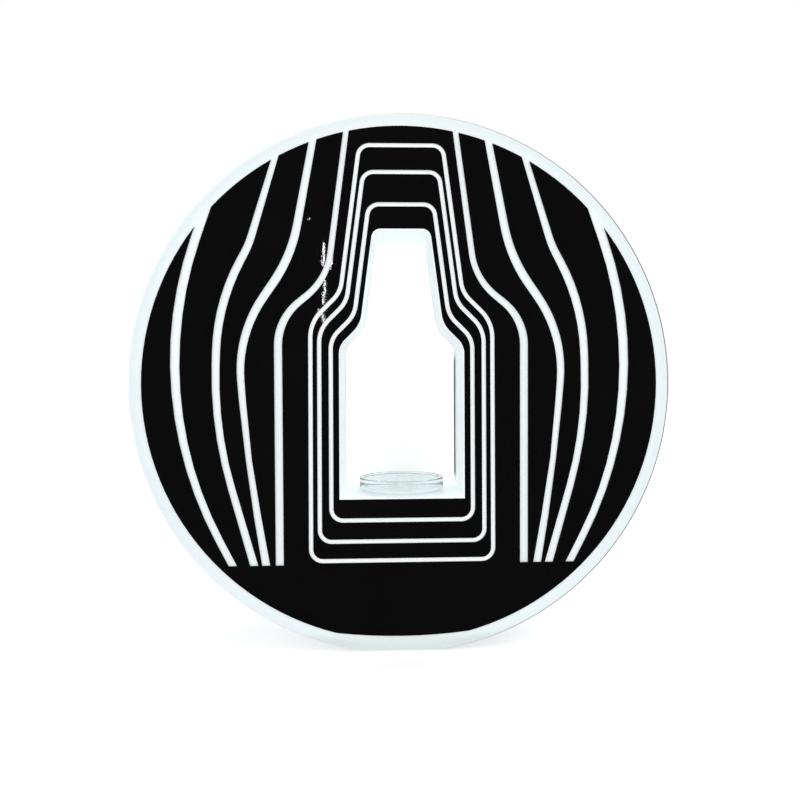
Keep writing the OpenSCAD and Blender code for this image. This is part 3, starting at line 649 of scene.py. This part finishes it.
# Clear coaster: a thick disc with a shallow seat, all its edges polished round
coaster = {
    "rim": 0.006,
    "seatDepth": 0.002,
    "edgeRound": 0.0015,
    "seatRound": 0.0008,
    "roundSteps": 6,
    "steps": 192,
}


def makeCoaster(c):
    low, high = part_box("coaster_disc")
    radius = (high.x - low.x) / 2
    seat = radius - c["rim"]
    top = high.z - low.z
    bm = bmesh.new()
    verts = wire(bm, [
        (0, 0, 0),
        (radius, 0, 0),
        (radius, 0, top),
        (seat, 0, top),
        (seat, 0, top - c["seatDepth"]),
        (0, 0, top - c["seatDepth"]),
    ])
    for corners, width in ((verts[1:3], c["edgeRound"]), (verts[3:5], c["seatRound"])):
        bmesh.ops.bevel(
            bm, geom=corners, offset=width, affect="VERTICES",
            segments=c["roundSteps"], profile=0.5, material=-1,
        )
    lathe(bm, list(bm.verts), c["steps"])
    bmesh.ops.translate(bm, verts=bm.verts, vec=((low.x + high.x) / 2, (low.y + high.y) / 2, low.z))
    disc = addPiece("coasterDisc", bm, "coaster", "clear_acrylic")
    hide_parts("coaster_disc")


makeCoaster(coaster)
print("coaster made")


# Screws with cross recesses, as shares of the head's radius or height
screw = {
    "steps": 32,
    "crownSteps": 5,
    "shoulderShare": 0.5,
    "topShare": 0.62,
    "slotShare": 0.13,
    "reachShare": 0.46,
    "depthShare": 0.55,
    "floorShare": 0.6,
}
levelGap = 1e-7


def crossLoop(bm, reach, half, z):
    points = []
    for quarter in range(4):
        turn = Matrix.Rotation(quarter * math.pi / 2, 3, "Z")
        for point in ((reach, -half, z), (reach, half, z), (half, half, z)):
            points.append(turn @ Vector(point))
    verts = wire(bm, points)
    bm.edges.new((verts[-1], verts[0]))
    return verts


def edgesAmong(bm, verts):
    return [edge for edge in bm.edges if edge.verts[0] in verts and edge.verts[1] in verts]


def addScrew(target, s, profile, place, axis):
    bm = bmesh.new()
    lathe(bm, wire(bm, profile), s["steps"])
    top = max(point[2] for point in profile)
    headRadius = max(point[0] for point in profile)
    atTop = [vert for vert in bm.verts if abs(vert.co.z - top) < levelGap]
    rim = [edge for edge in edgesAmong(bm, atTop) if edge.is_boundary]
    loop = crossLoop(bm, s["reachShare"] * headRadius, s["slotShare"] * headRadius, top)
    cross = edgesAmong(bm, loop)
    bmesh.ops.triangle_fill(bm, use_beauty=True, use_dissolve=False, edges=rim + cross)
    walls = bmesh.ops.extrude_edge_only(bm, edges=cross)
    floor = [vert for vert in walls["geom"] if isinstance(vert, bmesh.types.BMVert)]
    bmesh.ops.translate(bm, verts=floor, vec=(0, 0, -s["depthShare"] * headRadius))
    bmesh.ops.scale(bm, verts=floor, vec=(s["floorShare"], s["floorShare"], 1))
    bmesh.ops.triangle_fill(bm, use_beauty=True, use_dissolve=False, edges=edgesAmong(bm, floor))
    bmesh.ops.transform(bm, matrix=Matrix.Translation(place) @ axis.to_4x4(), verts=bm.verts)
    mesh = bpy.data.meshes.new("oneScrew")
    bm.to_mesh(mesh)
    bm.free()
    target.from_mesh(mesh)
    bpy.data.meshes.remove(mesh)


def panProfile(s, shank, head, height, length):
    shoulder = s["shoulderShare"] * height
    flat = head * s["topShare"]
    turns = [i / s["crownSteps"] * math.pi / 2 for i in range(s["crownSteps"] + 1)]
    crown = [
        (flat + (head - flat) * math.cos(turn), 0, shoulder + (height - shoulder) * math.sin(turn))
        for turn in turns
    ]
    return [(0, 0, -length), (shank, 0, -length), (shank, 0, 0), (head, 0, 0)] + crown


def makeScrews(node, name, places, profile, axis):
    bm = bmesh.new()
    for place in places:
        addScrew(bm, screw, profile, place, axis)
    piece = addPiece(name, bm, "housing", "zinc_screw")
    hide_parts(node)


# Pan heads that point out of the back
outOfBack = Matrix(((-1, 0, 0), (0, 0, 1), (0, 1, 0)))
coverScrew = {"shank": 0.002, "head": 0.004, "height": 0.0026, "count": 8}
spacerScrew = {"shank": 0.0015, "head": 0.003, "height": 0.002}


def makeCoverScrews(c):
    low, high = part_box("cover_screws")
    step = math.tau / c["count"]
    ring = (high.x - c["head"]) / math.cos(step / 2)
    turns = [step * (i + 0.5) for i in range(c["count"])]
    spots = [(ring * math.cos(turn), coverBack, ring * math.sin(turn)) for turn in turns]
    places = [drumCentre + Vector(spot) for spot in spots]
    profile = panProfile(screw, c["shank"], c["head"], c["height"], coverBack - low.y)
    makeScrews("cover_screws", "coverScrews", places, profile, outOfBack)


def makeSpacerScrews(c):
    low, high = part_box("spacer_screws")
    aside = high.x - c["head"]
    bottom = low.z + c["head"]
    spots = [(x, z) for z in (bottom, drumCentre.z) for x in (-aside, aside)] + [(0, high.z - c["head"])]
    places = [Vector((x, coverBack, z)) for x, z in spots]
    profile = panProfile(screw, c["shank"], c["head"], c["height"], coverBack - low.y)
    makeScrews("spacer_screws", "spacerScrews", places, profile, outOfBack)


# Countersunk screws under the flat, their heads flush with it
intoFlat = Matrix(((1, 0, 0), (0, -1, 0), (0, 0, -1)))
baseScrew = {"shank": 0.002, "head": 0.004, "sink": 0.0022}


def makeBaseScrews(c):
    low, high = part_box("base_screws")
    length = high.z - low.z
    inner = c["head"]
    spots = [(x, y) for x in (low.x + inner, high.x - inner) for y in (low.y + inner, high.y - inner)]
    places = [Vector((x, y, low.z)) for x, y in spots]
    profile = [(0, 0, -length), (c["shank"], 0, -length), (c["shank"], 0, -c["sink"]), (c["head"], 0, 0)]
    makeScrews("base_screws", "baseScrews", places, profile, intoFlat)


makeCoverScrews(coverScrew)
makeSpacerScrews(spacerScrew)
makeBaseScrews(baseScrew)
print("screws made")


# On and off marks on the rocker: a bar above its hinge, a ring below
rockerMarks = {
    "tilt": 8,  # degrees, upper end pressed in
    "rise": 0.001,  # each half of the face rises towards its end
    "riseOver": 0.008,
    "dip": 0.0023,  # how far out from the hinge the face's middle is
    "reach": 0.0046,
    "proud": 0.0001,
    "bar": (0.0007, 0.0032),
    "ring": (0.0011, 0.0016),
    "ringSteps": 40,
}


def markFrame(m, side):
    joints = frame["record"]["behaviour"]["joints"]
    hinge = next(joint for joint in joints if joint["name"] == "rocker_hinge")
    slope = math.atan2(m["rise"], m["riseOver"])
    along = Vector((0, math.sin(slope), side * math.cos(slope)))
    out = Vector((0, math.cos(slope), -side * math.sin(slope)))
    tilt = Matrix.Rotation(math.radians(m["tilt"]), 3, "X")
    spot = tilt @ (Vector((0, m["dip"], 0)) + along * m["reach"])
    turn = Matrix((Vector((-1, 0, 0)), tilt @ (along * side), tilt @ out)).transposed()
    return Matrix.Translation(Vector(hinge["pos_m"]) + spot) @ turn.to_4x4()


def makeRockerMarks(m):
    bar = bmesh.new()
    bmesh.ops.create_cube(bar, size=1)
    bmesh.ops.scale(bar, verts=bar.verts, vec=(*m["bar"], 2 * m["proud"]))
    bmesh.ops.transform(bar, matrix=markFrame(m, 1), verts=bar.verts)
    addPiece("onMark", bar, "rocker", "white_nylon")
    ring = bmesh.new()
    inner, outer = m["ring"]
    low, high = -m["proud"], m["proud"]
    section = wire(ring, [
        (inner, 0, low), (outer, 0, low), (outer, 0, high), (inner, 0, high), (inner, 0, low)
    ])
    lathe(ring, section, m["ringSteps"])
    bmesh.ops.transform(ring, matrix=markFrame(m, -1), verts=ring.verts)
    addPiece("offMark", ring, "rocker", "white_nylon")


makeRockerMarks(rockerMarks)
print("rocker marked")


# Floor, backdrop and light
studio = {
    "floorSize": 12.0,
    "floorCells": 8,
    "floorColour": (0.82, 0.82, 0.82),
    "floorLift": (0.48, 0.78),  # added where the camera sees the floor, near the drum and far from it
    "floorReach": (0.5, 1.8),
    "ambient": 0.5,
    "frontDark": 0.05,  # what gloss sees straight in front of the face
    "frontEdge": (0.5, 0.9),
}


def makeFloor(s):
    bm = bmesh.new()
    bmesh.ops.create_grid(
        bm, x_segments=s["floorCells"], y_segments=s["floorCells"], size=s["floorSize"] / 2
    )
    mesh = bpy.data.meshes.new("floor")
    bm.to_mesh(mesh)
    bm.free()
    floor = bpy.data.objects.new("floor", mesh)
    bpy.context.scene.collection.objects.link(floor)
    material, tree, shader = newFinish("paleFloor")
    setPlain(shader, Roughness=1.0, Specular_IOR_Level=0.0, Base_Color=(*s["floorColour"], 1))
    setPlain(shader, Emission_Color=(1, 1, 1, 1))
    path = addNode(tree, "ShaderNodeLightPath")
    seen = combine(tree, "ADD", path.outputs["Is Camera Ray"], path.outputs["Is Transmission Ray"])
    away = lengthOf(tree, objectCoords(tree))
    lift = remap(tree, away, *s["floorReach"], *s["floorLift"])
    tree.links.new(combine(tree, "MULTIPLY", seen, lift), shader.inputs["Emission Strength"])
    mesh.materials.append(material)
    floor.visible_glossy = False


def makeWorld(s):
    world = bpy.data.worlds.new("studio")
    bpy.context.scene.world = world
    world.use_nodes = True
    tree = world.node_tree
    background = tree.nodes["Background"]
    background.inputs["Color"].default_value = (1, 1, 1, 1)
    path = addNode(tree, "ShaderNodeLightPath")
    way = addNode(tree, "ShaderNodeTexCoord")
    ahead = combine(tree, "MULTIPLY", splitCoords(tree, way.outputs["Generated"])["Y"], -1)
    gloss = remap(tree, ahead, *s["frontEdge"], 1.0, s["frontDark"])
    seen = combine(tree, "ADD", path.outputs["Is Camera Ray"], path.outputs["Is Transmission Ray"])
    shown = combine(tree, "MAXIMUM", combine(tree, "MULTIPLY", path.outputs["Is Glossy Ray"], gloss), seen)
    asLight = combine(tree, "MAXIMUM", seen, path.outputs["Is Glossy Ray"])
    dim = combine(tree, "MULTIPLY", combine(tree, "SUBTRACT", 1.0, asLight), s["ambient"])
    tree.links.new(combine(tree, "ADD", shown, dim), background.inputs["Strength"])


# Narrow strips beside the camera, seen as a broken streak in the black gloss
strips = {
    "stripHigh": {"place": (-0.1687, -1.085, 0.6055), "size": (0.0032, 0.055), "power": 0.028, "tilt": 0},
    "stripMiddle": {"place": (-0.1722, -1.085, 0.516), "size": (0.0032, 0.067), "power": 0.034, "tilt": 8},
    "stripLow": {"place": (-0.1738, -1.085, 0.457), "size": (0.0032, 0.032), "power": 0.009, "tilt": 20},
    "fleck": {"place": (-0.2095, -1.085, 0.692), "size": (0.0026, 0.0026), "power": 0.0009, "tilt": 0},
}
softboxes = {
    "key": {"place": (1.5, -1.3, 1.7), "size": (1.2, 1.2), "power": 13.5, "tilt": 0},
    "fill": {"place": (-1.7, -1.1, 1.0), "size": (1.2, 1.4), "power": 10, "tilt": 0},
    "rear": {"place": (0.9, 1.7, 1.5), "size": (1.4, 1.2), "power": 11, "tilt": 0},
    "top": {"place": (0.0, 0.1, 2.2), "size": (1.6, 1.0), "power": 6, "tilt": 0},
}


def addSoftbox(name, box):
    data = bpy.data.lights.new(name, "AREA")
    data.shape = "RECTANGLE"
    data.size, data.size_y = box["size"]
    data.energy = box["power"]
    lamp = bpy.data.objects.new(name, data)
    bpy.context.scene.collection.objects.link(lamp)
    lamp.location = box["place"]
    aim = (drumCentre - Vector(box["place"])).to_track_quat("-Z", "Y").to_matrix()
    lamp.rotation_euler = (aim @ Matrix.Rotation(math.radians(box["tilt"]), 3, "Z")).to_euler()
    lamp.visible_camera = False
    return lamp


makeFloor(studio)
makeWorld(studio)
for name, box in softboxes.items():
    addSoftbox(name, box).visible_glossy = False
for name, box in strips.items():
    addSoftbox(name, box)
print("studio lit")
